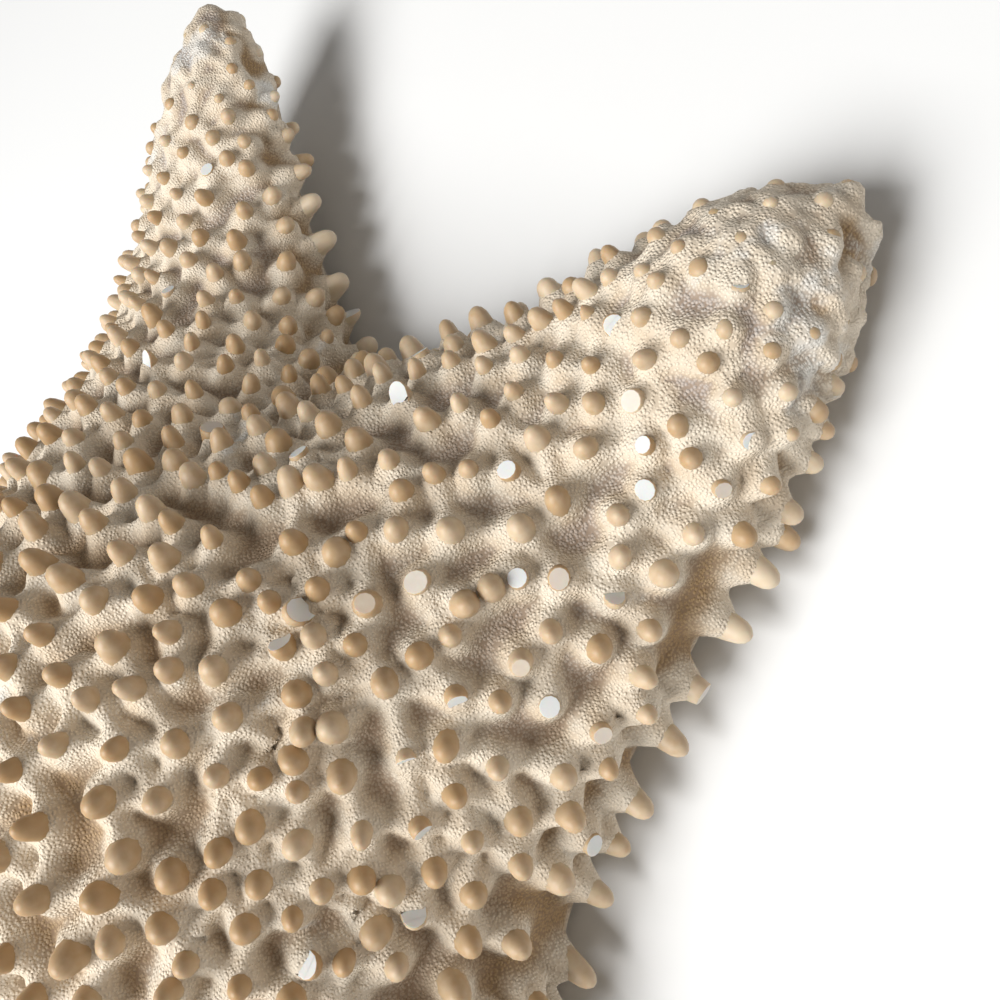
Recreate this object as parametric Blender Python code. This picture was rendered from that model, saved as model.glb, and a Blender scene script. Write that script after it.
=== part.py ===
"""A dried cushion starfish, lying on its mouth side.

The animal grew as one piece, so the model is one closed solid: an inflated disc, five
stout arms whose tips dried a little lifted and bent, a net of ridges with a blunt spine
on every knot and a pit in every mesh, a row of larger spines around the margin, and a
flat mouth side with five grooves that meet at the mouth.

The shape is drawn as a flat plan with straight arms, with a height over each point of
the plan, and is then settled: the outer part of each arm is lifted and bent sideways.

Units are metres, +Z is up, and the first arm points along +X.
"""

import math
import random

import bmesh
import bpy
from mathutils import Vector
from mathutils.geometry import delaunay_2d_cdt

ARM_COUNT = 5
SECTOR = 2 * math.pi / ARM_COUNT
ARM_REACH = (0.0996, 0.1042, 0.0955, 0.0950, 0.0840)
ARM_TURN = (-1.8, 4.7, -1.0, -4.0, -13.6)
TIP_LIFT = (0.0, 0.0117, 0.0030, 0.0040, 0.0027)
TIP_BEND = (0.0080, -0.0281, 0.0040, -0.0040, 0.0)
TIP_HALF_WIDTH = (0.0053, 0.0053, 0.0058, 0.0050, 0.0055)
CENTRE_HALF_WIDTH = 0.0478
TIP_ROUNDING = 0.0113
SETTLE_START = 0.0285
SETTLE_FADE = 0.025

DISC_HEIGHT = 0.0474
DISC_SWELL = 0.0550
DOME_POWER = 2.5
ARM_THICKNESS = 0.0108
TIP_SWELL = (0.0046, 0.0015, 0.0010, 0.0020, 0.0012)
SWELL_LENGTH = 0.012
MARGIN_HEIGHT = 0.0070
SECTION_POWER = 0.49
SOLE_INSET = 0.0032
CORNER_BLEND = 0.12

MARGIN_SPACING = 0.0077
KNOT_SPACING = 0.0078
MARGIN_CLEARANCE = 0.0060
ROW_STEP = 0.0020
FLANK_STEPS = 24
LEAST_FULLNESS = 0.02

SPINE_BASE = 0.0021
SPINE_HEIGHT = 0.0040
SPINE_TOP_SHARE = 0.48
MARGIN_SPINE_HEIGHT = 0.0044
ARM_END_SHARE = 0.45
FADE_START = 0.6
PIT_DEPTH = 0.0012

GROOVE_HALF_WIDTH = 0.0026
GROOVE_END_SHARE = 0.55
GROOVE_DEPTH = 0.0030
GROOVE_STEP = 0.013
MOUTH_RADIUS = 0.0080
MOUTH_DEPTH = 0.0060

OUTLINE_SAMPLES = 1440
SAME_POINT = 1e-6


def arm_angle(arm):
    return arm * SECTOR + math.radians(ARM_TURN[arm])


def on_arm(arm, along, aside):
    """The plan point that lies this far along an arm and this far to its left."""
    turn = arm_angle(arm)
    return Vector((along * math.cos(turn) - aside * math.sin(turn),
                   along * math.sin(turn) + aside * math.cos(turn)))


def from_arm(arm, point):
    """How far a plan point lies along an arm, and how far to its left."""
    turn = arm_angle(arm)
    return (point.x * math.cos(turn) + point.y * math.sin(turn),
            point.y * math.cos(turn) - point.x * math.sin(turn))


def nearest_arm(point):
    return max(range(ARM_COUNT), key=lambda arm: from_arm(arm, point)[0])


def half_width(arm, along):
    share = min(max(along / ARM_REACH[arm], 0.0), 1.0)
    return CENTRE_HALF_WIDTH + (TIP_HALF_WIDTH[arm] - CENTRE_HALF_WIDTH) * share


def fullness(point):
    """One along the arms' crests, nought on the outline, with soft corners between arms."""
    total = 0.0
    for arm in range(ARM_COUNT):
        along, aside = from_arm(arm, point)
        past_tip = max(0.0, (along - ARM_REACH[arm]) / TIP_ROUNDING + 1)
        behind = min(0.0, along / CENTRE_HALF_WIDTH)
        value = 1 - (aside / half_width(arm, along)) ** 2 - past_tip ** 2 - behind ** 2
        total += math.exp(value / CORNER_BLEND)
    return CORNER_BLEND * math.log(total)


def crest_height(point):
    """Height of the arms' crests and the domed disc over the sole, with a knob at some tips."""
    arm = nearest_arm(point)
    along, _ = from_arm(arm, point)
    knob = TIP_SWELL[arm] * math.exp(-((along - ARM_REACH[arm]) / SWELL_LENGTH + 1) ** 2)
    dome = (DISC_HEIGHT - ARM_THICKNESS) * math.exp(-(point.length / DISC_SWELL) ** DOME_POWER)
    return ARM_THICKNESS + dome + knob


def settle(point, height):
    """Puts a point of the plan at its height, lifted and bent as its arm has dried.

    The bend fades out towards the corners, where a point is as near to the next arm.
    """
    arm = nearest_arm(point)
    along, aside = from_arm(arm, point)
    next_along = sorted(from_arm(other, point)[0] for other in range(ARM_COUNT))[-2]
    share = max(0.0, (along - SETTLE_START) / (ARM_REACH[arm] - SETTLE_START)) ** 2
    share *= min(1.0, (along - next_along) / SETTLE_FADE)
    moved = on_arm(arm, along, aside + TIP_BEND[arm] * share)
    return Vector((moved.x, moved.y, height + TIP_LIFT[arm] * share))


def on_back(point):
    full = min(max(fullness(point), 0.0), 1.0)
    rise = crest_height(point) - MARGIN_HEIGHT
    return settle(point, MARGIN_HEIGHT + rise * full ** SECTION_POWER)


def outline_point(angle):
    """Where the outline crosses a ray from the centre, found by halving."""
    ray = Vector((math.cos(angle), math.sin(angle)))
    inner, outer = 0.2 * min(ARM_REACH), 1.2 * max(ARM_REACH)
    for _ in range(24):
        middle = 0.5 * (inner + outer)
        if fullness(ray * middle) > 0:
            inner = middle
        else:
            outer = middle
    return ray * inner


def margin_sites():
    """Evenly spaced points around the outline, starting at the first arm's tip."""
    points = [outline_point(2 * math.pi * step / OUTLINE_SAMPLES) for step in range(OUTLINE_SAMPLES + 1)]
    travelled = [0.0]
    for before, after in zip(points, points[1:]):
        travelled.append(travelled[-1] + (after - before).length)
    count = round(travelled[-1] / MARGIN_SPACING)
    sites = []
    index = 0
    for number in range(count):
        goal = travelled[-1] * number / count
        while travelled[index + 1] < goal:
            index += 1
        share = (goal - travelled[index]) / (travelled[index + 1] - travelled[index])
        sites.append(points[index].lerp(points[index + 1], share))
    return sites


def far_enough(place, others, least):
    return all((place - other).length >= least for other in others)


def back_sites(margin):
    """Knots of the net: rows laid along each arm from its crest down, where there is room."""
    rng = random.Random(7)
    border = [on_back(point) for point in margin]
    sites = [Vector((0.0, 0.0))]
    taken = [on_back(sites[0])]
    slants = sorted(range(-FLANK_STEPS, FLANK_STEPS + 1), key=abs)
    for slant in slants:
        for step in range(1, int(max(ARM_REACH) / ROW_STEP)):
            for arm in range(ARM_COUNT):
                along = (step + rng.random()) * ROW_STEP
                lean = 0.5 * math.pi * (slant + rng.uniform(-0.5, 0.5)) / FLANK_STEPS
                site = on_arm(arm, along, half_width(arm, along) * math.sin(lean))
                if nearest_arm(site) != arm or fullness(site) < LEAST_FULLNESS:
                    continue
                place = on_back(site)
                if far_enough(place, taken, KNOT_SPACING) and far_enough(place, border, MARGIN_CLEARANCE):
                    sites.append(site)
                    taken.append(place)
    return sites


def triangulate(points, border_count, inner_edges):
    """Triangles over plan points, the first of which are the border in order."""
    border = [(i, (i + 1) % border_count) for i in range(border_count)]
    points, _, faces, sources, _, _ = delaunay_2d_cdt(points, border + inner_edges, [], 1, SAME_POINT)
    return points, faces, [source[0] for source in sources]


def add_back(bm, margin, sites):
    """The back's net of triangles, with a knot at every site. Returns its knots."""
    in_back = bm.faces.layers.int.new("in_back")
    points, faces, _ = triangulate(margin + sites, len(margin), [])
    verts = [bm.verts.new(on_back(point)) for point in points]
    for face in faces:
        bm.faces.new([verts[i] for i in face])[in_back] = 1
    return verts


def groove_plan():
    """Points of the five grooves with their depths, and the edges along their lanes."""
    points, depths, edges = [], [], []
    for arm in range(ARM_COUNT):
        steps = int((ARM_REACH[arm] - TIP_ROUNDING - MOUTH_RADIUS) / GROOVE_STEP)
        for lane in (-1, 0, 1):
            for step in range(steps + (lane == 0)):
                narrowing = 1 + (GROOVE_END_SHARE - 1) * step / steps
                along = MOUTH_RADIUS + step * GROOVE_STEP
                if step:
                    edges.append((len(points) - 1, len(points)))
                points.append(on_arm(arm, along, lane * GROOVE_HALF_WIDTH * narrowing))
                depths.append(GROOVE_DEPTH if lane == 0 and step < steps else 0.0)
    return points, depths, edges


def sole_outline(margin):
    """The margin drawn in under the body, one point for each point of the margin."""
    drawn = []
    for index, point in enumerate(margin):
        following = margin[(index + 1) % len(margin)]
        tangent = (following - margin[index - 1]).normalized()
        drawn.append(point + Vector((-tangent.y, tangent.x)) * SOLE_INSET)
    return drawn


def add_sole(bm, margin):
    """The flat mouth side with its grooves and mouth. Returns its border in order."""
    border = sole_outline(margin)
    grooves, depths, edges = groove_plan()
    first = len(border)
    edges = [(a + first, b + first) for a, b in edges]
    depths = [0.0] * first + depths + [MOUTH_DEPTH]
    points, faces, sources = triangulate(border + grooves + [Vector((0, 0))], first, edges)
    verts = [bm.verts.new(settle(point, depths[source])) for point, source in zip(points, sources)]
    for face in faces:
        bm.faces.new([verts[i] for i in reversed(face)])
    return verts[:first]


def add_flank(bm, upper, lower):
    """The low side wall between the margin and the sole."""
    for i in range(len(upper)):
        j = (i + 1) % len(upper)
        bm.faces.new((upper[i], lower[i], lower[j]))
        bm.faces.new((upper[i], lower[j], upper[j]))


def sink_pits(bm, flat_knots):
    """Sinks the middle of every mesh of the net."""
    in_back = bm.faces.layers.int["in_back"]
    for face in [f for f in bm.faces if f[in_back] and f not in flat_knots]:
        normal = face.normal.copy()
        middle = bmesh.ops.poke(bm, faces=[face])["verts"][0]
        middle.co -= normal * PIT_DEPTH


def spine_share(point):
    """Spines keep their full height up to the outer part of an arm, and are low knobs at its end."""
    arm = nearest_arm(point)
    along, _ = from_arm(arm, point)
    faded = (along / ARM_REACH[arm] - FADE_START) / (1 - FADE_START)
    return 1 + (ARM_END_SHARE - 1) * min(max(faded, 0.0), 1.0)


def raise_spine(bm, knot, direction, height):
    """Draws a flat knot out into a blunt spine with a narrower top."""
    centre = knot.calc_center_median()
    top = bmesh.ops.extrude_discrete_faces(bm, faces=[knot])["faces"][0]
    for vert in top.verts:
        vert.co = centre + (vert.co - centre) * SPINE_TOP_SHARE + direction * height


def raise_spines(bm, knots, margin_count):
    """Cuts every knot flat, sinks the pits, and draws a spine out of each knot.

    The first knots are those of the margin, whose spines are longer.
    """
    rng = random.Random(11)
    bm.normal_update()
    spines = []
    for index, vert in enumerate(knots):
        height = MARGIN_SPINE_HEIGHT if index < margin_count else SPINE_HEIGHT
        height *= spine_share(vert.co.xy) * rng.uniform(0.8, 1.2)
        spines.append((vert.co.copy(), vert.normal.copy(), height))
    cut = bmesh.ops.bevel(
        bm, geom=knots, affect="VERTICES", offset=SPINE_BASE, offset_type="OFFSET",
        segments=1, profile=0.5, material=-1)
    flat_knots = set(cut["faces"])
    bm.normal_update()
    sink_pits(bm, flat_knots)
    for knot in cut["faces"]:
        centre = knot.calc_center_median()
        _, direction, height = min(spines, key=lambda spine: (spine[0] - centre).length)
        raise_spine(bm, knot, direction, height)


def stand_on_origin(bm):
    """Moves the shape so that the middle of its box's base is at the origin."""
    low = Vector([min(vert.co[i] for vert in bm.verts) for i in range(3)])
    high = Vector([max(vert.co[i] for vert in bm.verts) for i in range(3)])
    shift = Vector((-0.5 * (low.x + high.x), -0.5 * (low.y + high.y), -low.z))
    bmesh.ops.translate(bm, verts=bm.verts, vec=shift)


def starfish_mesh():
    bm = bmesh.new()
    margin = margin_sites()
    knots = add_back(bm, margin, back_sites(margin))
    lower = add_sole(bm, margin)
    add_flank(bm, knots[:len(margin)], lower)
    bmesh.ops.recalc_face_normals(bm, faces=bm.faces)
    raise_spines(bm, knots, len(margin))
    bmesh.ops.triangulate(bm, faces=bm.faces)
    bmesh.ops.recalc_face_normals(bm, faces=bm.faces)
    stand_on_origin(bm)
    mesh = bpy.data.meshes.new("starfish")
    bm.to_mesh(mesh)
    bm.free()
    return mesh


def dried_skin():
    material = bpy.data.materials.new("dried_skin")
    material.use_nodes = True
    shader = material.node_tree.nodes["Principled BSDF"]
    shader.inputs["Base Color"].default_value = (0.60, 0.46, 0.31, 1)
    shader.inputs["Roughness"].default_value = 0.8
    shader.inputs["Metallic"].default_value = 0.0
    return material


for old in list(bpy.data.objects):
    bpy.data.objects.remove(old)

starfish = bpy.data.objects.new("starfish", starfish_mesh())
starfish.data.materials.append(dried_skin())
bpy.context.scene.collection.objects.link(starfish)
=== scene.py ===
"""The looks of a dried cushion starfish: granular skin, blunt waxy spines, grooved mouth side."""
import math
import random

import bmesh
import bpy
import numpy as np
from mathutils import Matrix, Vector, noise
from mathutils.bvhtree import BVHTree
from mathutils.kdtree import KDTree


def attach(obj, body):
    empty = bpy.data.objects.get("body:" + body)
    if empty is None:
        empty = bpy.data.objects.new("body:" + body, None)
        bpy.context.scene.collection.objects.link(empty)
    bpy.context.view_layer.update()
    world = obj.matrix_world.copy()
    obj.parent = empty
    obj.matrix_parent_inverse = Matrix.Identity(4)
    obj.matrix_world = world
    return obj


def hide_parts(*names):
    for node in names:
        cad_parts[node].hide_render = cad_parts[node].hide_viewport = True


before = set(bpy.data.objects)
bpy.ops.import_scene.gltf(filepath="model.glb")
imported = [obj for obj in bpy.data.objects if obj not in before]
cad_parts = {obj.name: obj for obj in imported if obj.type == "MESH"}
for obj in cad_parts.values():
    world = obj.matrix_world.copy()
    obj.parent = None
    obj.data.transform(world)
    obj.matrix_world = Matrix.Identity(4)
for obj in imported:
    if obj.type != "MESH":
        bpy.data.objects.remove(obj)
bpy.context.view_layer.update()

# The view of the photograph: a phone held a hand's breadth from the disc, turned to put the
# first arm along the picture's rising diagonal. Places are measured from the disc's centre.
FRAME_PIXELS = 1000
SENSOR_WIDTH = 36.0
FOCAL_PIXELS = 929.0
CLIP_START = 0.005
CLIP_END = 20.0
DISC_CENTRE = Vector((-0.00796, -0.00610, 0.0))
SIGHT_POINT = Vector((0.0570, 0.0007, 0.0150))
SIGHT_DISTANCE = 0.0970
SIGHT_AZIMUTH = math.radians(-45.17)
SIGHT_ELEVATION = math.radians(50.11)
SIGHT_ROLL = math.radians(-78.21)

towards_camera = Vector((math.cos(SIGHT_ELEVATION) * math.cos(SIGHT_AZIMUTH),
                         math.cos(SIGHT_ELEVATION) * math.sin(SIGHT_AZIMUTH),
                         math.sin(SIGHT_ELEVATION)))
level_right = Vector((0, 0, 1)).cross(towards_camera).normalized()
level_up = towards_camera.cross(level_right)
view_right = level_right * math.cos(SIGHT_ROLL) + level_up * math.sin(SIGHT_ROLL)
view_up = level_up * math.cos(SIGHT_ROLL) - level_right * math.sin(SIGHT_ROLL)
eye = DISC_CENTRE + SIGHT_POINT + towards_camera * SIGHT_DISTANCE

camera = bpy.data.objects.new("camera", bpy.data.cameras.new("camera"))
camera.data.sensor_fit = "HORIZONTAL"
camera.data.sensor_width = SENSOR_WIDTH
camera.data.lens = SENSOR_WIDTH * FOCAL_PIXELS / FRAME_PIXELS
camera.data.clip_start = CLIP_START
camera.data.clip_end = CLIP_END
view_axes = Matrix((view_right, view_up, towards_camera)).transposed()
camera.matrix_world = Matrix.Translation(eye) @ view_axes.to_4x4()
bpy.context.scene.collection.objects.link(camera)
bpy.context.scene.camera = camera


def pixel_ray(column, row):
    """The direction from the camera through a pixel of the photograph."""
    across = (column - FRAME_PIXELS / 2) / FOCAL_PIXELS
    upward = (FRAME_PIXELS / 2 - row) / FOCAL_PIXELS
    return (view_right * across + view_up * upward - towards_camera).normalized()


def pixel_of(point):
    """Where a point shows in the photograph's frame."""
    seen = point - eye
    depth = -seen.dot(towards_camera)
    return (FRAME_PIXELS / 2 + FOCAL_PIXELS * seen.dot(view_right) / depth,
            FRAME_PIXELS / 2 - FOCAL_PIXELS * seen.dot(view_up) / depth)


# The body under the skin: an inflated disc with five stout arms that dried a little lifted and
# bent, flat on the mouth side. A dense ball is drawn out to this shape and given even faces.
ARM_COUNT = 5
SECTOR = 2 * math.pi / ARM_COUNT
ARM_REACH = np.array((0.0996, 0.1042, 0.0955, 0.0950, 0.0840))
ARM_TURN = np.radians((-1.8, 4.7, -1.0, -4.0, -13.6))
ARM_ANGLE = np.arange(ARM_COUNT) * SECTOR + ARM_TURN
TIP_LIFT = np.array((0.0, 0.0117, 0.0030, 0.0040, 0.0027))
TIP_BEND = np.array((0.0080, -0.0281, 0.0040, -0.0040, 0.0))
TIP_HALF_WIDTH = np.array((0.0053, 0.0053, 0.0058, 0.0050, 0.0055))
CENTRE_HALF_WIDTH = 0.0478
TIP_ROUNDING = 0.0113
SETTLE_START = 0.0285
SETTLE_FADE = 0.025
UNSETTLE_STEPS = 5
DISC_HEIGHT = 0.0474
DISC_SWELL = 0.0550
DOME_POWER = 2.5
ARM_THICKNESS = 0.0108
TIP_SWELL = np.array((0.0046, 0.0015, 0.0010, 0.0020, 0.0012))
SWELL_LENGTH = 0.012
MARGIN_HEIGHT = 0.0070
SECTION_POWER = 0.49
SOLE_INSET = 0.0032
CORNER_BLEND = 0.12
SMALLEST_SUM = 1e-30
GROOVE_HALF_WIDTH = 0.0030
GROOVE_END_SHARE = 0.50
GROOVE_DEPTH = 0.0034
GROOVE_DEPTH_LOSS = 0.45
GROOVE_END_FADE = 0.10
GROOVE_POWER = 0.6
MOUTH_RADIUS = 0.0085
MOUTH_DEPTH = 0.0062
OUTLINE_SAMPLES = 1440
OUTLINE_NEAREST = 0.02
OUTLINE_FARTHEST = 0.14
OUTLINE_HALVINGS = 24
BALL_DIVISIONS = 8
FLANK_SHARE = 0.22
SKIN_VOXEL = 0.00050


def arm_frame(plan):
    """How far points of the plan lie along every arm, and how far to its left."""
    turn = ARM_ANGLE[:, None]
    x, y = plan.T
    return x * np.cos(turn) + y * np.sin(turn), y * np.cos(turn) - x * np.sin(turn)


def own_arm(plan):
    """The number of the arm that each point of the plan belongs to."""
    return arm_frame(plan)[0].argmax(axis=0)


def fullness(plan):
    """One along the arms' crests, nought on the outline, with soft corners between arms."""
    along, aside = arm_frame(plan)
    reach = ARM_REACH[:, None]
    taper = TIP_HALF_WIDTH[:, None] - CENTRE_HALF_WIDTH
    width = CENTRE_HALF_WIDTH + taper * np.clip(along / reach, 0, 1)
    past_tip = np.maximum(0, (along - reach) / TIP_ROUNDING + 1)
    behind = np.minimum(0, along / CENTRE_HALF_WIDTH)
    value = 1 - (aside / width) ** 2 - past_tip ** 2 - behind ** 2
    return CORNER_BLEND * np.log(np.exp(value / CORNER_BLEND).sum(axis=0) + SMALLEST_SUM)


def dried_bend(plan):
    """How far the drying moved points of the plan: lifted and bent, fading towards the corners."""
    along = arm_frame(plan)[0]
    arm = along.argmax(axis=0)
    ranked = np.sort(along, axis=0)
    share = np.maximum(0, (ranked[-1] - SETTLE_START) / (ARM_REACH[arm] - SETTLE_START)) ** 2
    share = share * np.minimum(1, (ranked[-1] - ranked[-2]) / SETTLE_FADE)
    bend = TIP_BEND[arm] * share
    turn = ARM_ANGLE[arm]
    return np.stack((-bend * np.sin(turn), bend * np.cos(turn), TIP_LIFT[arm] * share), axis=1)


def settle(plan, height):
    """Puts points of the plan at their height, lifted and bent as their arm has dried."""
    flat = np.column_stack((plan, height))
    return flat + dried_bend(plan) + np.array(DISC_CENTRE)


def unsettle(places):
    """The plan points and the heights over the sole's plane that settle() took to these places."""
    places = places - np.array(DISC_CENTRE)
    plan = places[:, :2]
    for _ in range(UNSETTLE_STEPS):
        plan = places[:, :2] - dried_bend(plan)[:, :2]
    return plan, places[:, 2] - dried_bend(plan)[:, 2]


def disc_share(plan):
    """One over the middle of the disc, fading out along the arms."""
    return np.exp(-(np.hypot(plan[:, 0], plan[:, 1]) / DISC_SWELL) ** DOME_POWER)


def back_height(plan):
    """How high the back stands over points of the plan, before the arms lift."""
    along = arm_frame(plan)[0]
    arm = along.argmax(axis=0)
    knob = TIP_SWELL[arm] * np.exp(-((along.max(axis=0) - ARM_REACH[arm]) / SWELL_LENGTH + 1) ** 2)
    dome = (DISC_HEIGHT - ARM_THICKNESS) * disc_share(plan)
    rise = ARM_THICKNESS + dome + knob - MARGIN_HEIGHT
    return MARGIN_HEIGHT + rise * np.clip(fullness(plan), 0, 1) ** SECTION_POWER


def groove_half_width(share):
    """Half a groove's width at a share of its arm's reach."""
    return GROOVE_HALF_WIDTH * (1 + (GROOVE_END_SHARE - 1) * share)


def groove_depth(plan):
    """How deep the five grooves and the mouth lie in the sole at points of the plan."""
    along, aside = arm_frame(plan)
    share = np.clip(along / ARM_REACH[:, None], 0, 1)
    across = np.clip(1 - (aside / groove_half_width(share)) ** 2, 0, 1) ** GROOVE_POWER
    ending = np.clip((1 - share) / GROOVE_END_FADE, 0, 1) * (along > 0)
    lanes = (GROOVE_DEPTH * (1 - GROOVE_DEPTH_LOSS * share) * across * ending).max(axis=0)
    distance = np.hypot(plan[:, 0], plan[:, 1])
    return np.maximum(lanes, MOUTH_DEPTH * np.clip(1 - (distance / MOUTH_RADIUS) ** 2, 0, 1))


def clear_of_grooves(plan, level):
    """Whether places at a level over the sole's plane lie outside the grooves and the mouth."""
    return (groove_depth(plan) == 0) | (level > MARGIN_HEIGHT)


def add_object(name, bm):
    """A new object in the scene, made from a finished bmesh."""
    mesh = bpy.data.meshes.new(name)
    bm.to_mesh(mesh)
    bm.free()
    thing = bpy.data.objects.new(name, mesh)
    bpy.context.scene.collection.objects.link(thing)
    return thing


def vertex_places(mesh):
    """The places of a mesh's vertices, one row each."""
    places = np.zeros(3 * len(mesh.vertices))
    mesh.vertices.foreach_get("co", places)
    return places.reshape(-1, 3)


angles = np.arange(OUTLINE_SAMPLES + 1) * 2 * math.pi / OUTLINE_SAMPLES
rays = np.stack((np.cos(angles), np.sin(angles)), axis=1)
inner = np.full(len(angles), OUTLINE_NEAREST)
outer = np.full(len(angles), OUTLINE_FARTHEST)
for _ in range(OUTLINE_HALVINGS):
    middle = 0.5 * (inner + outer)
    inside = fullness(rays * middle[:, None]) > 0
    inner = np.where(inside, middle, inner)
    outer = np.where(inside, outer, middle)
outline = rays * inner[:, None]
tangent = np.roll(outline[:-1], -1, axis=0) - np.roll(outline[:-1], 1, axis=0)
tangent /= np.linalg.norm(tangent, axis=1)[:, None]
inward = np.stack((-tangent[:, 1], tangent[:, 0]), axis=1)
inward = np.vstack((inward, inward[:1]))

ball = bmesh.new()
bmesh.ops.create_icosphere(ball, subdivisions=BALL_DIVISIONS, radius=1)
body = add_object("body", ball)
sphere = vertex_places(body.data)
longitude = np.arctan2(sphere[:, 1], sphere[:, 0]) % (2 * math.pi)
latitude = np.arcsin(np.clip(sphere[:, 2], -1, 1)) / (math.pi / 2)
edge = np.stack([np.interp(longitude, angles, outline[:, axis]) for axis in (0, 1)], axis=1)
edge_inward = np.stack([np.interp(longitude, angles, inward[:, axis]) for axis in (0, 1)], axis=1)

back_plan = edge * np.cos(np.maximum(latitude, 0) * math.pi / 2)[:, None]
down = np.clip(-latitude / FLANK_SHARE, 0, 1) * math.pi / 2
flank_plan = edge + edge_inward * (SOLE_INSET * (1 - np.cos(down)))[:, None]
to_mouth = np.clip((-latitude - FLANK_SHARE) / (1 - FLANK_SHARE), 0, 1)
under_plan = flank_plan * (1 - to_mouth)[:, None]
plan = np.where((latitude >= 0)[:, None], back_plan, under_plan)
height = np.where(latitude >= 0, back_height(plan), MARGIN_HEIGHT * (1 - np.sin(down)))
height = height + np.where(to_mouth > 0, groove_depth(plan), 0)
body.data.vertices.foreach_set("co", settle(plan, height).ravel())
body.data.update()

even = body.modifiers.new("even", "REMESH")
even.mode = "VOXEL"
even.voxel_size = SKIN_VOXEL
even.adaptivity = 0.0
depsgraph = bpy.context.evaluated_depsgraph_get()
skin_mesh = bpy.data.meshes.new_from_object(body.evaluated_get(depsgraph))
bpy.data.objects.remove(body)
skin_mesh.name = "skin"
skin = bpy.data.objects.new("skin", skin_mesh)
bpy.context.scene.collection.objects.link(skin)
bpy.context.view_layer.update()
surface = BVHTree.FromObject(skin, bpy.context.evaluated_depsgraph_get())

# The places of the spines: one on every knot of the net of small plates under the skin. Those
# that show in the photograph stand where it shows them, on the back and along the margin. A ring
# along the margin and rows over the back fill the rest, and single spines fill the gaps left.
SPINE_SPACING = 0.0044
SEEN_CLEARANCE = 0.0036
SEEN_GAP = 0.0025
SEEN_RANGE = 0.085
SPINE_LIFT = 0.0019
MARGIN_SEED = 5
MARGIN_LEVEL = 0.8
MARGIN_CLEARANCE = 0.0042
MARGIN_SPACING = 0.0063
MARGIN_REACH = 0.0036
MARGIN_JITTER = 0.12
ROW_SEED = 8
ROW_STEP = 0.0014
ROW_FULLNESS = 0.02
FLANK_STEPS = 34
FLANK_LOW = 0.0028
GAP_SEED = 12
GAP_TRIES = 16000
WORN_START = 0.76
WORN_SPACING_SHARE = 0.66
WHOLE, WORN, CHIPPED, SNAPPED = range(4)
SEEN_WHOLE = (
    (714, 205), (674, 239), (660, 257), (639, 263), (607, 280), (625, 287), (652, 277), (692, 261),
    (566, 309), (639, 315), (676, 337), (707, 337), (642, 358), (779, 261), (781, 309), (779, 354),
    (733, 398), (794, 394), (775, 389), (593, 402), (558, 403), (677, 426), (543, 318), (515, 333),
    (486, 368), (452, 362), (491, 420), (428, 421), (538, 439), (468, 469), (434, 474), (402, 492),
    (382, 498), (557, 499), (450, 530), (520, 527), (618, 515), (358, 533), (337, 552), (620, 557),
    (695, 535), (318, 590), (465, 604), (491, 588), (450, 636), (419, 656), (385, 684), (326, 674),
    (641, 674), (563, 774), (342, 775), (332, 728), (304, 731), (351, 721), (376, 706), (297, 694),
    (294, 759), (299, 789), (323, 793), (362, 830), (298, 842), (322, 887), (362, 877), (390, 888),
    (344, 958), (396, 964), (466, 937), (455, 988), (293, 914), (246, 926), (278, 917), (214, 890),
    (172, 875), (112, 940), (188, 960), (172, 988), (124, 855), (172, 670), (191, 691), (215, 670),
    (239, 671), (137, 689), (94, 700), (230, 717), (177, 743), (119, 747), (218, 775), (261, 777),
    (159, 799), (103, 800), (251, 826), (144, 844), (97, 849), (220, 849), (292, 486), (320, 480),
    (349, 473), (294, 543), (314, 636), (289, 635), (169, 561), (227, 614), (251, 581), (191, 587),
    (174, 633), (156, 516), (100, 529), (195, 479), (264, 500), (215, 542), (271, 602), (99, 602),
    (242, 486), (266, 468), (304, 151), (310, 186), (349, 281), (246, 168), (272, 168), (244, 211),
    (277, 198), (236, 241), (287, 229), (287, 266), (188, 261), (214, 274), (200, 238), (282, 299),
    (206, 302), (253, 324), (332, 324), (286, 349), (191, 345), (236, 349))
SEEN_WORN = (
    (631, 400), (725, 490), (521, 662), (559, 578), (844, 293), (790, 226), (367, 604), (600, 730))
SEEN_CHIPPED = (
    (615, 598), (402, 397), (738, 280), (407, 757), (420, 826), (308, 962), (284, 646), (299, 612),
    (586, 311), (611, 322), (456, 697), (414, 911), (133, 267))
SEEN_SNAPPED = (
    (508, 470), (755, 443), (518, 579), (645, 490), (550, 706), (644, 445), (588, 835), (206, 170))
SEEN_MARGIN = (
    (805, 456), (777, 508), (755, 570), (731, 630), (690, 686), (664, 737), (625, 797), (606, 842),
    (588, 892), (565, 967))


def nearest_skin(place):
    """The nearest place on the body and the direction that the body faces there."""
    found, normal, _, _ = surface.find_nearest(place)
    return found, normal


def seen_site(column, row):
    """The skin under a spine whose bare part shows at this pixel."""
    found, normal, _, _ = surface.ray_cast(eye, pixel_ray(column, row))
    if found is None:
        return None
    shown = pixel_of(found + normal * SPINE_LIFT)
    foot = pixel_of(found)
    shifted = (column - shown[0] + foot[0], row - shown[1] + foot[1])
    lower, lower_normal, _, _ = surface.ray_cast(eye, pixel_ray(*shifted))
    return (found, normal) if lower is None else (lower, lower_normal)


class Site:
    """One spine's place: its foot on the skin, its direction and its state."""

    def __init__(self, foot, direction, state=WHOLE, margin=False):
        self.foot = foot
        self.direction = direction
        self.state = state
        self.margin = margin


sites = []
for pixels, state in ((SEEN_WHOLE, WHOLE), (SEEN_WORN, WORN),
                      (SEEN_CHIPPED, CHIPPED), (SEEN_SNAPPED, SNAPPED)):
    for column, row in pixels:
        found = seen_site(column, row)
        if found and all((found[0] - site.foot).length > SEEN_GAP for site in sites):
            sites.append(Site(*found, state))
seen_count = len(sites)

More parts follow.
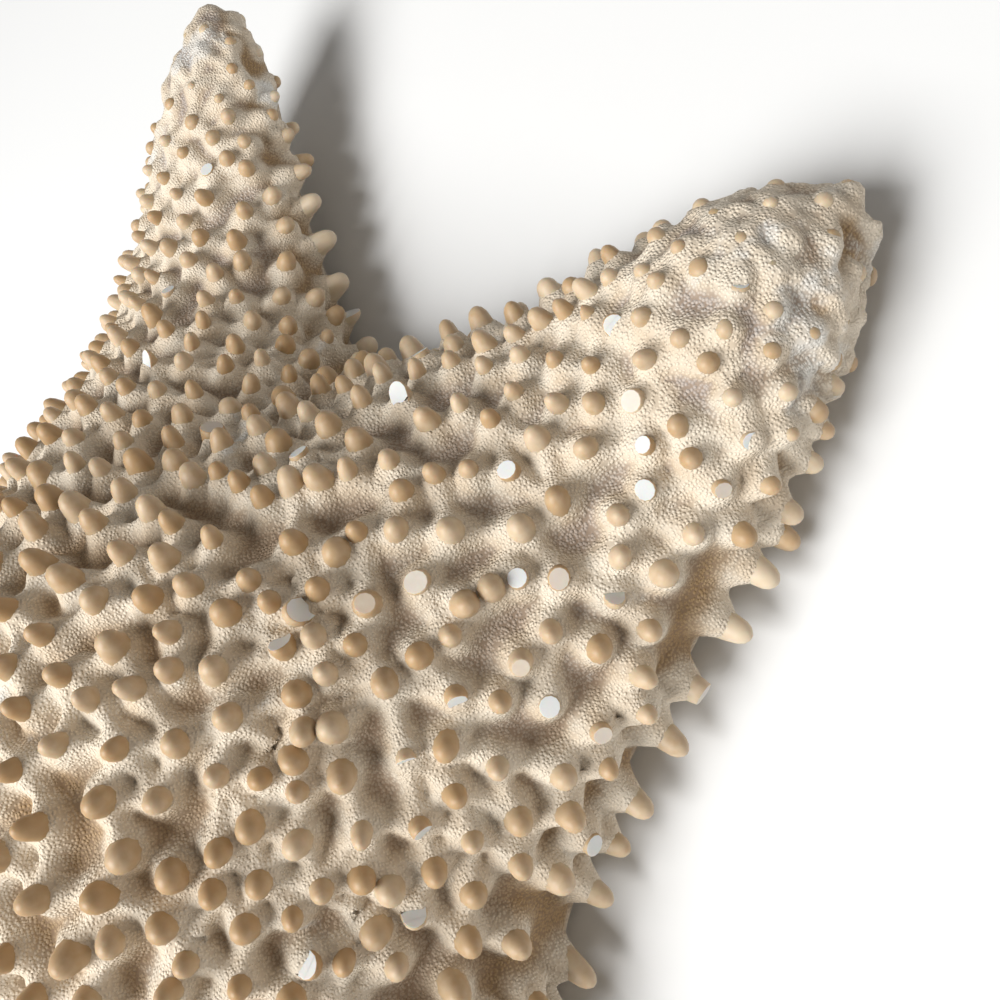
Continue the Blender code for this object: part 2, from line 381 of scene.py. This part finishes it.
ring = settle(outline, np.full(len(outline), MARGIN_HEIGHT * MARGIN_LEVEL))
steps = np.linalg.norm(ring[1:] - ring[:-1], axis=1)
travelled = np.concatenate(((0.0,), np.cumsum(steps)))
margin_count = round(travelled[-1] / MARGIN_SPACING)
ring_skin = [nearest_skin(Vector(place)) for place in ring[:-1]]
shown = np.array([pixel_of(foot + normal * MARGIN_REACH) for foot, normal in ring_skin])
shown[np.linalg.norm(ring[:-1] - np.array(SIGHT_POINT), axis=1) > SEEN_RANGE] = math.inf
taken = [int(np.hypot(*(shown - pixel).T).argmin()) for pixel in SEEN_MARGIN]
seen_ring = ring[taken]
rng = random.Random(MARGIN_SEED)
for number in range(margin_count):
    goal = (number + rng.uniform(-MARGIN_JITTER, MARGIN_JITTER)) * travelled[-1] / margin_count
    index = int(np.searchsorted(travelled, goal % travelled[-1]) - 1) % OUTLINE_SAMPLES
    if np.linalg.norm(seen_ring - ring[index], axis=1).min() > MARGIN_CLEARANCE:
        taken.append(index)
sites += [Site(*ring_skin[index], margin=True) for index in taken]

places = np.array([site.foot for site in sites])
clearances = np.array([MARGIN_CLEARANCE if site.margin else SEEN_CLEARANCE for site in sites])
rng = random.Random(ROW_SEED)
for slant in sorted(range(-FLANK_STEPS, FLANK_STEPS + 1), key=abs):
    tried = []
    for step in range(1, int(ARM_REACH.max() / ROW_STEP)):
        for arm in range(ARM_COUNT):
            along = (step + rng.random()) * ROW_STEP
            lean = 0.5 * math.pi * (slant + rng.uniform(-0.5, 0.5)) / FLANK_STEPS
            taper = TIP_HALF_WIDTH[arm] - CENTRE_HALF_WIDTH
            width = CENTRE_HALF_WIDTH + taper * min(along / ARM_REACH[arm], 1)
            aside = width * math.sin(lean)
            turn = ARM_ANGLE[arm]
            tried.append((along * math.cos(turn) - aside * math.sin(turn),
                          along * math.sin(turn) + aside * math.cos(turn), arm))
    tried = np.array(tried)
    plan = tried[:, :2]
    plan = plan[(own_arm(plan) == tried[:, 2]) & (fullness(plan) > ROW_FULLNESS)]
    for place in settle(plan, back_height(plan)):
        if (np.linalg.norm(places - place, axis=1) < clearances).any():
            continue
        foot, normal = nearest_skin(Vector(place))
        sites.append(Site(foot, normal))
        places = np.vstack((places, foot))
        clearances = np.append(clearances, SPINE_SPACING)

tries = random.Random(GAP_SEED).sample(range(len(skin_mesh.vertices)), GAP_TRIES)
spots = vertex_places(skin_mesh)[tries]
plan, level = unsettle(spots)
outside = (level > FLANK_LOW) & clear_of_grooves(plan, level)
worn_end = (arm_frame(plan)[0] / ARM_REACH[:, None]).max(axis=0) > WORN_START
spacings = np.where(worn_end, WORN_SPACING_SHARE, 1) * SPINE_SPACING
for place, spacing in zip(spots[outside], spacings[outside]):
    if (np.linalg.norm(places - place, axis=1) > spacing).all():
        foot, normal = nearest_skin(Vector(place))
        sites.append(Site(foot, normal))
        places = np.vstack((places, foot))

# The skin: a granular coat over the net of plates, drawn up into a mound around every spine and
# into ridges along the plates that link them. It is one closed sheet, with grooves, a mouth and
# the seams of a pavement of small plates on the mouth side.
MOUND_HEIGHT = 0.0016
DISC_MOUND_HEIGHT = 0.0027
FLANK_MOUND_HEIGHT = 0.0032
MOUND_STEEP_START = 0.75
MOUND_STEEP_SPAN = 0.5
MOUND_FLAT = 0.0010
MOUND_SPREAD = 0.0013
MOUND_POWER = 1.4
WORN_SPREAD_LOSS = 0.45
FOOT_SHARE = 0.88
LINK_SEED = 3
LINK_NEIGHBOURS = 8
RIDGE_HEIGHT = 0.0003
DISC_RIDGE_HEIGHT = 0.0019
RIDGE_HALF_WIDTH = 0.0012
RIDGE_REACH = 0.0068
RIDGE_SHARE = 0.55
TIP_FADE_START = 0.74
TIP_FADE_END = 0.92
TIP_MOUND_SHARE = 0.30
TIP_LUMP_HEIGHT = 0.0009
TIP_LUMP_SIZE = 0.0019
PIT_DEPTH = 0.0004
LUMP_HEIGHT = 0.0004
LUMP_SIZE = 0.0040
BACK_START = 0.15
BACK_SPAN = 0.5
# Where the painted shade in the valleys turns warm brown: on flanks that face aside or down.
BROWN_SHADE_STEEP_START = 0.8
BROWN_SHADE_STEEP_SPAN = 0.4
NEIGHBOURS = 4
TRIANGLE_LIMIT = 195000
SOLE_CLEARANCE = 0.00012

count = len(skin_mesh.vertices)
co = vertex_places(skin_mesh)
normals = np.zeros(3 * count)
skin_mesh.vertex_normals.foreach_get("vector", normals)
normals = normals.reshape(-1, 3)
plan, level = unsettle(co)
feet = np.array([site.foot for site in sites])
foot_normals = np.array([site.direction for site in sites])


def steepness(normals, start, span):
    """Nought where the skin faces up, one where it faces aside or down."""
    return np.clip((start - normals[:, 2]) / span, 0, 1)


def mound_size(plan, normals):
    """The height of a mound, its disc share and its worn share by the place on the body."""
    disc = disc_share(plan)
    outward = arm_frame(plan)[0] / ARM_REACH[:, None]
    worn = np.clip((outward.max(axis=0) - TIP_FADE_START) / (TIP_FADE_END - TIP_FADE_START), 0, 1)
    height = MOUND_HEIGHT + (DISC_MOUND_HEIGHT - MOUND_HEIGHT) * disc
    steep = steepness(normals, MOUND_STEEP_START, MOUND_STEEP_SPAN)
    height = height + (FLANK_MOUND_HEIGHT - height) * steep
    return height * (1 + (TIP_MOUND_SHARE - 1) * worn), disc, worn


for site, height, disc, worn in zip(sites, *mound_size(unsettle(feet)[0], foot_normals)):
    site.mound_top = FOOT_SHARE * height
    site.disc = disc
    site.worn = worn
tree = KDTree(len(sites))
for index, site in enumerate(sites):
    tree.insert(site.foot, index)
tree.balance()
near_index = np.zeros((count, NEIGHBOURS), int)
near_distance = np.zeros((count, NEIGHBOURS))
for index in range(count):
    for rank, (_, which, distance) in enumerate(tree.find_n(co[index], NEIGHBOURS)):
        near_index[index, rank] = which
        near_distance[index, rank] = distance

rng = random.Random(LINK_SEED)
linked = np.zeros((len(sites), len(sites)), bool)
for index, site in enumerate(sites):
    for _, other, distance in tree.find_n(site.foot, LINK_NEIGHBOURS):
        if other > index and distance < RIDGE_REACH and rng.random() < RIDGE_SHARE:
            linked[index, other] = linked[other, index] = True

ridge = np.zeros(count)
for first in range(NEIGHBOURS):
    for second in range(first + 1, NEIGHBOURS):
        a, b = near_index[:, first], near_index[:, second]
        start, span = feet[a], feet[b] - feet[a]
        length = np.linalg.norm(span, axis=1)
        share = np.clip(((co - start) * span).sum(axis=1) / length ** 2, 0, 1)
        apart = np.linalg.norm(co - start - span * share[:, None], axis=1)
        rise = np.exp(-(apart / RIDGE_HALF_WIDTH) ** 2) * linked[a, b]
        ridge = np.maximum(ridge, rise)
tight = np.array([1 - WORN_SPREAD_LOSS * site.worn for site in sites])[near_index]
past_flat = np.maximum(near_distance / tight - MOUND_FLAT, 0)
mound = np.exp(-(past_flat / MOUND_SPREAD) ** MOUND_POWER).max(axis=1)
on_back = np.clip((level - BACK_START * MARGIN_HEIGHT) / (BACK_SPAN * MARGIN_HEIGHT), 0, 1)
on_back *= clear_of_grooves(plan, level)
lumps = np.array([noise.noise(Vector(point) / LUMP_SIZE) for point in co])
knobs = np.array([1 - noise.voronoi(Vector(point) / TIP_LUMP_SIZE)[0][0] ** 2 for point in co])
mound_height, disc, worn = mound_size(plan, normals)
ridge_height = RIDGE_HEIGHT + (DISC_RIDGE_HEIGHT - RIDGE_HEIGHT) * disc
rise = mound_height * mound + ridge_height * ridge * (1 - mound)
valley = np.clip(1 - ridge - mound, 0, 1) * on_back
rise = rise - PIT_DEPTH * valley
rise = rise + LUMP_HEIGHT * lumps + TIP_LUMP_HEIGHT * worn * np.maximum(knobs, 0)
co = co + normals * (on_back * rise)[:, None]
co[:, 2] = np.maximum(co[:, 2], SOLE_CLEARANCE)
skin_mesh.vertices.foreach_set("co", co.ravel())
skin_mesh.update()
# The painted shade in the valleys is warm brown over the disc and on steep flanks, and grey
# elsewhere.
brown_shade = np.maximum(disc, steepness(normals, BROWN_SHADE_STEEP_START, BROWN_SHADE_STEEP_SPAN))
for name, values in (("valley", valley), ("disc", disc), ("worn", worn * on_back),
                     ("sole", 1 - on_back), ("ridge", ridge * on_back), ("brown_shade", brown_shade)):
    layer = skin_mesh.attributes.new(name, "FLOAT", "POINT")
    layer.data.foreach_set("value", values.astype(np.float32))
skin_mesh.shade_smooth()

thin = skin.modifiers.new("thin", "DECIMATE")
triangles = sum(len(face.vertices) - 2 for face in skin_mesh.polygons)
thin.ratio = min(1.0, TRIANGLE_LIMIT / triangles)


class Socket:
    """A shader value with arithmetic: each operator adds a Math node."""

    def __init__(self, nodes, output):
        self.nodes = nodes
        self.output = output

    def maths(self, operation, first, second):
        return self.nodes.add("ShaderNodeMath", {"operation": operation}, {0: first, 1: second})

    def __add__(self, other):
        return self.maths("ADD", self, other)

    def __radd__(self, other):
        return self.maths("ADD", other, self)

    def __sub__(self, other):
        return self.maths("SUBTRACT", self, other)

    def __rsub__(self, other):
        return self.maths("SUBTRACT", other, self)

    def __mul__(self, other):
        return self.maths("MULTIPLY", self, other)

    def __rmul__(self, other):
        return self.maths("MULTIPLY", other, self)

    def ramp(self, low, high):
        """0 below low, 1 above high, smooth between."""
        return self.nodes.add("ShaderNodeMapRange", {"interpolation_type": "SMOOTHSTEP"},
                              {"Value": self, "From Min": low, "From Max": high})


class Nodes:
    """One material's nodes, added by type, settings and socket values."""

    def __init__(self, name):
        self.material = bpy.data.materials.new(name)
        self.material.use_nodes = True
        self.tree = self.material.node_tree
        self.shader = self.tree.nodes["Principled BSDF"]

    def set(self, node, values):
        for key, value in values.items():
            if isinstance(value, Socket):
                self.tree.links.new(value.output, node.inputs[key])
            else:
                node.inputs[key].default_value = value

    def add(self, kind, settings=None, values=None, output=0):
        node = self.tree.nodes.new(kind)
        for key, value in (settings or {}).items():
            setattr(node, key, value)
        self.set(node, values or {})
        return Socket(self, node.outputs[output])

    def blend(self, share, first, second):
        """A colour mix, from first at share 0 to second at share 1."""
        return self.add("ShaderNodeMix", {"data_type": "RGBA"}, {0: share, 6: first, 7: second},
                        output=2)

    def noise(self, scale, detail):
        """A cloudy pattern from 0 to 1, fixed to the piece."""
        return self.add("ShaderNodeTexNoise", values={"Vector": self.place(), "Scale": scale,
                                                      "Detail": detail}, output="Fac")

    def attribute(self, name):
        return self.add("ShaderNodeAttribute", {"attribute_name": name}, output="Fac")

    def place(self):
        return self.add("ShaderNodeTexCoord", output="Object")


SKIN_LIT = (0.76, 0.69, 0.58, 1)
SKIN_TAN = (0.65, 0.54, 0.405, 1)
DISC_TAN = (0.76, 0.64, 0.49, 1)
# Painted shade for the valleys between the mounds: grey where the sky lights them, warm brown in
# shadow.
VALLEY_SHADE_GREY = (0.47, 0.42, 0.39, 1)
VALLEY_SHADE_BROWN = (0.42, 0.285, 0.15, 1)
RIDGE_CREAM = (0.84, 0.76, 0.64, 1)
GAP_BROWN = (0.24, 0.165, 0.11, 1)
RUBBED_WHITE = (0.80, 0.83, 0.84, 1)
GRANULE_PITCH = 0.00035
GRANULE_SCATTER = 0.7
GRANULE_RELIEF = 0.00015
MOTTLE_SCALE = 260.0
PATCH_SCALE = 120.0
RIDGE_STRENGTH = 0.6
RUBBED_END_GAIN = 0.12
RUBBED_STRENGTH = 0.6
GAP_STRENGTH = 0.16
# How far painted shade darkens the granule joints in the valleys.
GAP_VALLEY_SHADE_STRENGTH = 0.60
PLATE_SIZE = 0.0026
PLATE_SCATTER = 0.6
SEAM_STRENGTH = 0.55
SEAM_RELIEF = 2.5

nodes = Nodes("granular_skin")
granules = nodes.add("ShaderNodeTexVoronoi", {"voronoi_dimensions": "3D"},
                     {"Vector": nodes.place(), "Scale": 1 / GRANULE_PITCH,
                      "Randomness": GRANULE_SCATTER}, output="Distance")
mottle = nodes.noise(MOTTLE_SCALE, 3.0)
patches = nodes.noise(PATCH_SCALE, 4.0)
valley = nodes.attribute("valley")
skin_colour = nodes.blend(mottle.ramp(0.35, 0.65), SKIN_LIT, SKIN_TAN)
skin_colour = nodes.blend(nodes.attribute("disc") * mottle.ramp(0.25, 0.75), skin_colour, DISC_TAN)
skin_colour = nodes.blend(nodes.attribute("ridge") * RIDGE_STRENGTH, skin_colour, RIDGE_CREAM)
# Painted shade: the valleys between the mounds are darkened, grey on the crests and warm brown on
# the disc and the flanks.
low = (valley * (0.6 + mottle * 0.6)).ramp(0.25, 0.9)
valley_shade_colour = nodes.blend(nodes.attribute("brown_shade"), VALLEY_SHADE_GREY, VALLEY_SHADE_BROWN)
skin_colour = nodes.blend(low, skin_colour, valley_shade_colour)
rubbed = nodes.attribute("worn").ramp(0.25, 0.75) * RUBBED_END_GAIN + patches
skin_colour = nodes.blend(rubbed.ramp(0.66, 0.76) * RUBBED_STRENGTH, skin_colour, RUBBED_WHITE)
# Dark joints between the granules, darkened much further in the valleys as painted shade.
joints_and_valley_shade = granules.ramp(0.42, 0.68) * (GAP_STRENGTH + valley * GAP_VALLEY_SHADE_STRENGTH)
skin_colour = nodes.blend(joints_and_valley_shade, skin_colour, GAP_BROWN)
plates = nodes.add("ShaderNodeTexVoronoi", {"feature": "DISTANCE_TO_EDGE"},
                   {"Vector": nodes.place(), "Scale": 1 / PLATE_SIZE,
                    "Randomness": PLATE_SCATTER}, output="Distance")
seam = (1 - plates.ramp(0.02, 0.16)) * nodes.attribute("sole")
skin_colour = nodes.blend(seam * SEAM_STRENGTH, skin_colour, GAP_BROWN)
relief = 1 - granules.ramp(0.15, 0.65) - seam * SEAM_RELIEF
bump = nodes.add("ShaderNodeBump", values={"Height": relief, "Distance": GRANULE_RELIEF,
                                           "Strength": 0.8}, output="Normal")
nodes.set(nodes.shader, {"Base Color": skin_colour, "Roughness": 0.78, "Normal": bump,
                         "Specular IOR Level": 0.25})
skin_mesh.materials.clear()
skin_mesh.materials.append(nodes.material)
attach(skin, "root")
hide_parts("starfish")

# The spines: short blunt cones of solid white chalk, waxy and bare at the end, each standing in
# a collar of skin. Some have worn flat, chipped or snapped off and show their white inside.
# A cut has its height on the spine, its tilt and how white it is.
SPINE_RADIUS = 0.00118
SPINE_LENGTH = 0.0018
MARGIN_SPINE_RADIUS = 0.00135
MARGIN_SPINE_LENGTH = 0.0021
WIDTH_RANGE = (0.82, 1.14)
LENGTH_RANGE = (0.8, 1.2)
OVAL_RANGE = (0.88, 1.0)
TURN_RANGE = (0, 6.28)
LEAN_RANGE = (-0.14, 0.14)
SNAPPED_WIDTH_SHARE = 0.85
DISC_SPINE_GAIN = 0.28
DISC_LENGTH_GAIN = 1.4
TIP_SPINE_SHARE = 0.45
TIP_WIDTH_LOSS = 0.2
SPINE_SEED = 21
UNSEEN_BROKEN = 0.05
SPINE_SIDES = 12
SPINE_PROFILE = ((-0.6, 1.15), (0.15, 0.98), (0.55, 0.84), (0.80, 0.62), (0.95, 0.30))
SPINE_CUTS = {WHOLE: ((None, 0.0, 1.0),),
              WORN: ((0.68, 0.05, 0.45), (0.40, 0.10, 0.5)),
              CHIPPED: ((0.62, 0.75, 1.0), (0.55, 0.95, 1.0)),
              SNAPPED: ((0.28, 0.10, 1.0), (0.36, 0.15, 1.0))}
CUT_RIM = 0.05
CUT_DEPTH = 0.02
MERGE_DISTANCE = 1e-4
TONE_LOWEST = 0.25
TONE_RANGE = 0.45
DISC_TONE_LOSS = 0.2
MARGIN_TONE_GAIN = 0.35


def cone_template(cut, tilt, white):
    """A spine of length 1 and radius 1 along +Z, whole or cut off at a height with a tilt."""
    cone = bmesh.new()
    profile = [cone.verts.new((radius, 0, share)) for share, radius in SPINE_PROFILE]
    profile.append(cone.verts.new((0, 0, 1)))
    edges = [cone.edges.new(pair) for pair in zip(profile, profile[1:])]
    bmesh.ops.spin(cone, geom=profile + edges, axis=(0, 0, 1), cent=(0, 0, 0), angle=2 * math.pi,
                   steps=SPINE_SIDES, use_merge=True, use_duplicate=False)
    bmesh.ops.remove_doubles(cone, verts=cone.verts, dist=MERGE_DISTANCE)
    broken = cone.verts.layers.float.new("broken")
    cone.verts.layers.float.new("tone")
    if cut is not None:
        slope = Vector((math.sin(tilt), 0, math.cos(tilt)))
        whole = cone.verts[:] + cone.edges[:] + cone.faces[:]
        bmesh.ops.bisect_plane(cone, geom=whole, plane_co=(0, 0, cut), plane_no=slope,
                               clear_outer=True)
        rim = [edge for edge in cone.edges if edge.is_boundary and edge.verts[0].co.z > 0]
        face = bmesh.ops.contextual_create(cone, geom=rim)["faces"]
        bmesh.ops.inset_region(cone, faces=face, thickness=CUT_RIM, depth=-CUT_DEPTH)
        for vert in face[0].verts:
            vert[broken] = white
    bmesh.ops.recalc_face_normals(cone, faces=cone.faces)
    for side in cone.faces:
        side.smooth = not any(vert[broken] for vert in side.verts)
    mesh = bpy.data.meshes.new("cone")
    cone.to_mesh(mesh)
    cone.free()
    return mesh


templates = {state: [cone_template(*cut) for cut in cuts] for state, cuts in SPINE_CUTS.items()}
rng = random.Random(SPINE_SEED)
groups = {"back_spines": bmesh.new(), "margin_spines": bmesh.new()}
for index, site in enumerate(sites):
    if index >= seen_count and rng.random() < UNSEEN_BROKEN:
        site.state = rng.choice((WORN, CHIPPED, SNAPPED))
    radius = MARGIN_SPINE_RADIUS if site.margin else SPINE_RADIUS
    radius *= rng.uniform(*WIDTH_RANGE) * (SNAPPED_WIDTH_SHARE if site.state == SNAPPED else 1)
    radius *= (1 + DISC_SPINE_GAIN * site.disc) * (1 - TIP_WIDTH_LOSS * site.worn)
    length = MARGIN_SPINE_LENGTH if site.margin else SPINE_LENGTH
    length *= rng.uniform(*LENGTH_RANGE) * (1 + DISC_LENGTH_GAIN * DISC_SPINE_GAIN * site.disc)
    length *= 1 + (TIP_SPINE_SHARE - 1) * site.worn
    lean = Vector([rng.uniform(*LEAN_RANGE) for _ in range(3)])
    direction = (site.direction + lean).normalized()
    foot = site.foot + site.direction * site.mound_top
    turn = direction.to_track_quat("Z", "Y").to_matrix().to_4x4()
    turn = turn @ Matrix.Rotation(rng.uniform(*TURN_RANGE), 4, "Z")
    size = Matrix.Diagonal((radius, radius * rng.uniform(*OVAL_RANGE), length, 1))
    spine = rng.choice(templates[site.state]).copy()
    spine.transform(Matrix.Translation(foot) @ turn @ size)
    tone = TONE_LOWEST + TONE_RANGE * rng.random() - DISC_TONE_LOSS * site.disc
    tone += MARGIN_TONE_GAIN if site.margin else 0
    spine.attributes["tone"].data.foreach_set("value", [tone] * len(spine.vertices))
    groups["margin_spines" if site.margin else "back_spines"].from_mesh(spine)
    bpy.data.meshes.remove(spine)

SPINE_AMBER = (0.46, 0.31, 0.165, 1)
SPINE_CREAM = (0.68, 0.58, 0.44, 1)
# The white inside of broken spines, with a bluish cast painted in as a sky reflection.
BREAK_WHITE_AND_SKY_SHEEN = (0.74, 0.77, 0.78, 1)
STREAK_SCALE = 900.0
STREAK_STRENGTH = 0.5
STREAK_RELIEF = 0.00004

nodes = Nodes("waxy_spine")
streaks = nodes.noise(STREAK_SCALE, 2.0)
tone = nodes.attribute("tone") + (streaks - 0.5) * STREAK_STRENGTH
spine_colour = nodes.blend(tone.ramp(0.05, 1.0), SPINE_AMBER, SPINE_CREAM)
# Broken faces show the white inside, tinted with a painted sky reflection.
broken = nodes.attribute("broken").ramp(0.3, 0.7)
spine_colour = nodes.blend(broken, spine_colour, BREAK_WHITE_AND_SKY_SHEEN)
dents = nodes.add("ShaderNodeBump", values={"Height": streaks, "Distance": STREAK_RELIEF,
                                            "Strength": 0.5}, output="Normal")
nodes.set(nodes.shader, {"Base Color": spine_colour, "Roughness": 0.45, "Normal": dents,
                         "Subsurface Weight": 0.25, "Subsurface Radius": (1.0, 0.45, 0.18),
                         "Subsurface Scale": 0.0012, "Specular IOR Level": 0.35})
for name, bm in groups.items():
    piece = add_object(name, bm)
    piece.data.materials.append(nodes.material)
    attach(piece, "root")
    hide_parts("starfish")

# The combs: small flat spines that stand along both edges of every groove and lie over it, and
# the stronger ones on the five jaws that close over the mouth.
COMB_SEED = 30
COMB_STEP = 0.00135
COMB_JITTER = 0.15
COMB_RADIUS = 0.00040
COMB_WIDTH_RANGE = (0.85, 1.15)
COMB_FOOT_ASIDE = 1.25
COMB_TIP_ASIDE = 0.18
COMB_LEAN = 0.0004
COMB_FOOT_LEVEL = 0.0010
COMB_TIP_LEVEL = 0.0003
COMB_END_SHARE = 0.90
JAW_SPINES = 7
JAW_SPREAD = 0.42
JAW_RADIUS = 0.00062
JAW_FOOT_SHARE = 1.1
JAW_TIP_RANGE = (0.34, 0.45)
PEG_SIDES = 6
PEG_END_SHARE = 0.55

combs = bmesh.new()
rng = random.Random(COMB_SEED)


def peg(foot_place, tip_place, radius):
    """A small spine on the mouth side between two places of the plan."""
    ends = settle(np.array([foot_place, tip_place]), np.array([COMB_FOOT_LEVEL, COMB_TIP_LEVEL]))
    foot, point = (Vector(end) for end in ends)
    span = point - foot
    turn = span.to_track_quat("Z", "Y").to_matrix().to_4x4()
    bmesh.ops.create_cone(combs, cap_ends=True, segments=PEG_SIDES, radius1=radius,
                          radius2=radius * PEG_END_SHARE, depth=span.length,
                          matrix=Matrix.Translation((foot + point) / 2) @ turn)


for arm in range(ARM_COUNT):
    ahead = np.array((math.cos(ARM_ANGLE[arm]), math.sin(ARM_ANGLE[arm])))
    beside = np.array((-ahead[1], ahead[0]))
    for number in range(int((COMB_END_SHARE * ARM_REACH[arm] - MOUTH_RADIUS) / COMB_STEP)):
        for side in (-1, 1):
            along = MOUTH_RADIUS + (number + rng.uniform(-COMB_JITTER, COMB_JITTER)) * COMB_STEP
            aside = beside * side * groove_half_width(along / ARM_REACH[arm])
            lean = rng.uniform(-COMB_LEAN, COMB_LEAN)
            peg(ahead * along + aside * COMB_FOOT_ASIDE,
                ahead * (along + lean) + aside * COMB_TIP_ASIDE,
                COMB_RADIUS * rng.uniform(*COMB_WIDTH_RANGE))
    middle = ARM_ANGLE[arm] + math.pi / ARM_COUNT
    for number in range(JAW_SPINES):
        turn = middle + JAW_SPREAD * (2 * number / (JAW_SPINES - 1) - 1)
        out = np.array((math.cos(turn), math.sin(turn)))
        peg(out * MOUTH_RADIUS * JAW_FOOT_SHARE, out * MOUTH_RADIUS * rng.uniform(*JAW_TIP_RANGE),
            JAW_RADIUS)
piece = add_object("combs", combs)
piece.data.materials.append(nodes.material)
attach(piece, "root")
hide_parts("starfish")

# The stage: a plain near-white floor, a soft window-like light from the picture's left, a weak
# warm light from its right and a pale sky.
FLOOR_HALF = 1.5
FLOOR_COLOUR = (0.79, 0.81, 0.83, 1)
LAMP_DISTANCE = 0.9
LAMP_SIZE = 0.60
WINDOW_POWER = 12.8
WINDOW_COLOUR = (1.0, 0.98, 0.95)
FILL_POWER = 0.8
FILL_COLOUR = (1.0, 0.75, 0.50)
SKY_COLOUR = (1.0, 0.96, 0.91, 1)
SKY_STRENGTH = 0.20

floor_bm = bmesh.new()
bmesh.ops.create_grid(floor_bm, x_segments=1, y_segments=1, size=FLOOR_HALF)
floor = add_object("floor", floor_bm)
nodes = Nodes("pale_floor")
nodes.set(nodes.shader, {"Base Color": FLOOR_COLOUR, "Roughness": 0.9})
floor.data.materials.append(nodes.material)


def soft_light(name, direction, power, colour):
    """A square soft light that faces the middle of what the camera sees."""
    lamp = bpy.data.objects.new(name, bpy.data.lights.new(name, "AREA"))
    lamp.data.size = LAMP_SIZE
    lamp.data.energy = power
    lamp.data.color = colour
    direction = direction.normalized()
    lamp.location = SIGHT_POINT + direction * LAMP_DISTANCE
    lamp.rotation_mode = "QUATERNION"
    lamp.rotation_quaternion = direction.to_track_quat("Z", "Y")
    bpy.context.scene.collection.objects.link(lamp)


soft_light("window", towards_camera * 0.50 - view_right * 0.75 - view_up * 0.40,
           WINDOW_POWER, WINDOW_COLOUR)
soft_light("warm_fill", view_right * 0.9 + towards_camera * 0.9, FILL_POWER, FILL_COLOUR)
world = bpy.data.worlds.new("pale_sky")
world.use_nodes = True
sky = world.node_tree.nodes["Background"]
sky.inputs["Color"].default_value = SKY_COLOUR
sky.inputs["Strength"].default_value = SKY_STRENGTH
bpy.context.scene.world = world
bpy.context.scene.view_settings.view_transform = "Standard"
